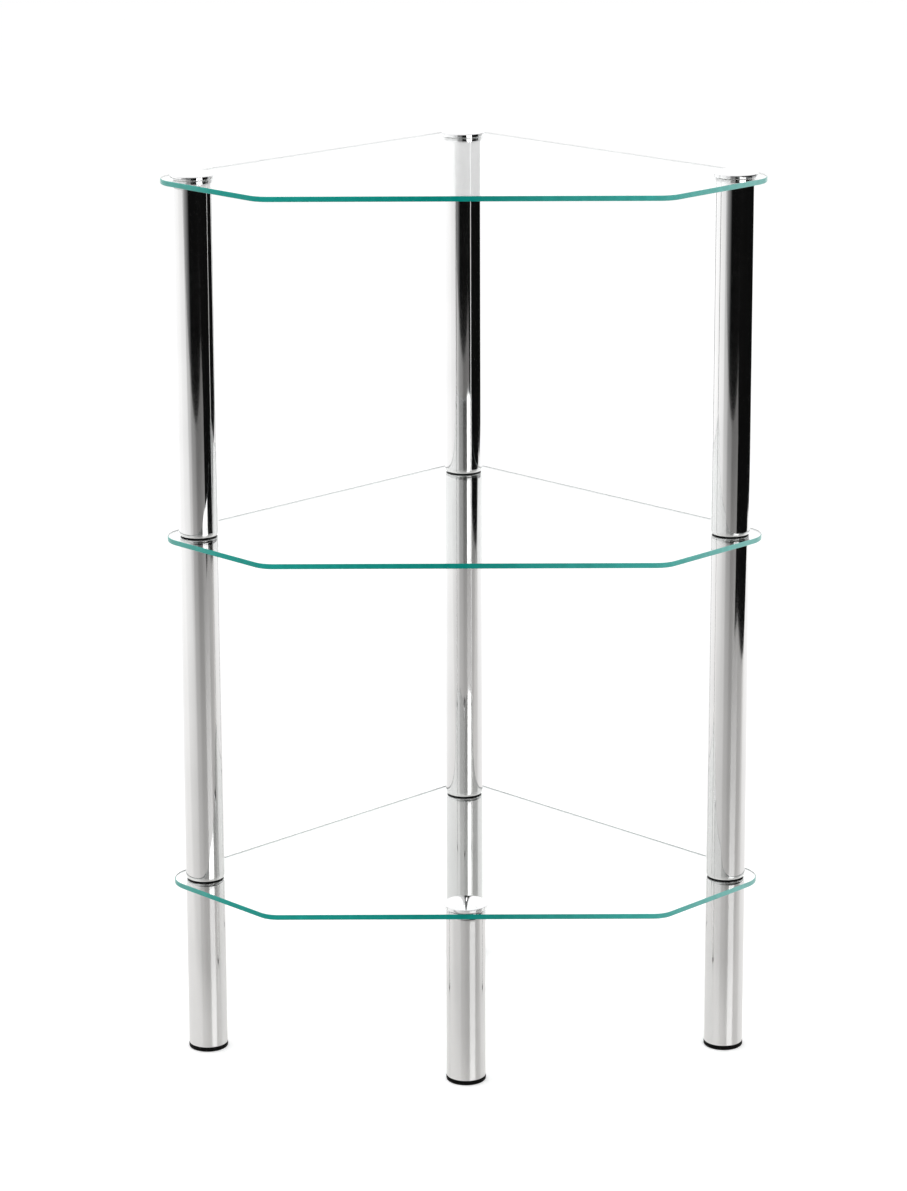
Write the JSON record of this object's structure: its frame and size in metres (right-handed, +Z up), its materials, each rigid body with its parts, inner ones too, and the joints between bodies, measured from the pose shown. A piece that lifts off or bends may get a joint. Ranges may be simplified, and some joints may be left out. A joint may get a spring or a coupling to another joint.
{
  "type": "glass shelving unit",
  "caption": "Corner shelving unit of clear cut-corner glass shelves clamped between chromed tube posts, standing on black screw-in levelling feet.",
  "frame": {"origin": "on the floor under the middle of the unit's box", "axes": "+Z up; the straight front edge of the shelves faces -Y, the room corner is at +Y"},
  "size_m": [0.5692, 0.3926, 0.8759],
  "materials": {
    "glass": "clear, teal at the edges",
    "chrome": "polished",
    "zinc_steel": "zinc plated",
    "black_plastic": "matt moulded"
  },
  "bodies": {
    "unit": {"top_shelf": "glass", "middle_shelf": "glass", "bottom_shelf": "glass", "left_upper_post": "chrome", "right_upper_post": "chrome", "back_upper_post": "chrome", "left_lower_post": "chrome", "right_lower_post": "chrome", "back_lower_post": "chrome", "left_leg": "chrome", "right_leg": "chrome", "back_leg": "chrome", "front_leg": "chrome", "left_upper_insert": "zinc_steel", "right_upper_insert": "zinc_steel", "back_upper_insert": "zinc_steel", "left_lower_insert": "zinc_steel", "right_lower_insert": "zinc_steel", "back_lower_insert": "zinc_steel", "left_leg_insert": "zinc_steel", "right_leg_insert": "zinc_steel", "back_leg_insert": "zinc_steel", "front_leg_insert": "zinc_steel", "left_upper_plug": "zinc_steel", "right_upper_plug": "zinc_steel", "back_upper_plug": "zinc_steel", "left_lower_plug": "zinc_steel", "right_lower_plug": "zinc_steel", "back_lower_plug": "zinc_steel", "left_cap": "chrome", "right_cap": "chrome", "back_cap": "chrome", "front_cap": "chrome", "left_top_upper_washer": "black_plastic", "left_top_lower_washer": "black_plastic", "right_top_upper_washer": "black_plastic", "right_top_lower_washer": "black_plastic", "back_top_upper_washer": "black_plastic", "back_top_lower_washer": "black_plastic", "left_middle_upper_washer": "black_plastic", "left_middle_lower_washer": "black_plastic", "right_middle_upper_washer": "black_plastic", "right_middle_lower_washer": "black_plastic", "back_middle_upper_washer": "black_plastic", "back_middle_lower_washer": "black_plastic", "left_bottom_upper_washer": "black_plastic", "left_bottom_lower_washer": "black_plastic", "right_bottom_upper_washer": "black_plastic", "right_bottom_lower_washer": "black_plastic", "back_bottom_upper_washer": "black_plastic", "back_bottom_lower_washer": "black_plastic", "front_bottom_upper_washer": "black_plastic", "front_bottom_lower_washer": "black_plastic"},
    "left_foot": {"left_foot": "black_plastic"},
    "right_foot": {"right_foot": "black_plastic"},
    "back_foot": {"back_foot": "black_plastic"},
    "front_foot": {"front_foot": "black_plastic"}
  },
  "joints": [
    {"name": "left_foot_screw", "type": "slide", "parent": "unit", "child": "left_foot", "axis": [0, 0, -1], "range_m": [0, 0.008]},
    {"name": "right_foot_screw", "type": "slide", "parent": "unit", "child": "right_foot", "axis": [0, 0, -1], "range_m": [0, 0.008]},
    {"name": "back_foot_screw", "type": "slide", "parent": "unit", "child": "back_foot", "axis": [0, 0, -1], "range_m": [0, 0.008]},
    {"name": "front_foot_screw", "type": "slide", "parent": "unit", "child": "front_foot", "axis": [0, 0, -1], "range_m": [0, 0.008]}
  ]
}
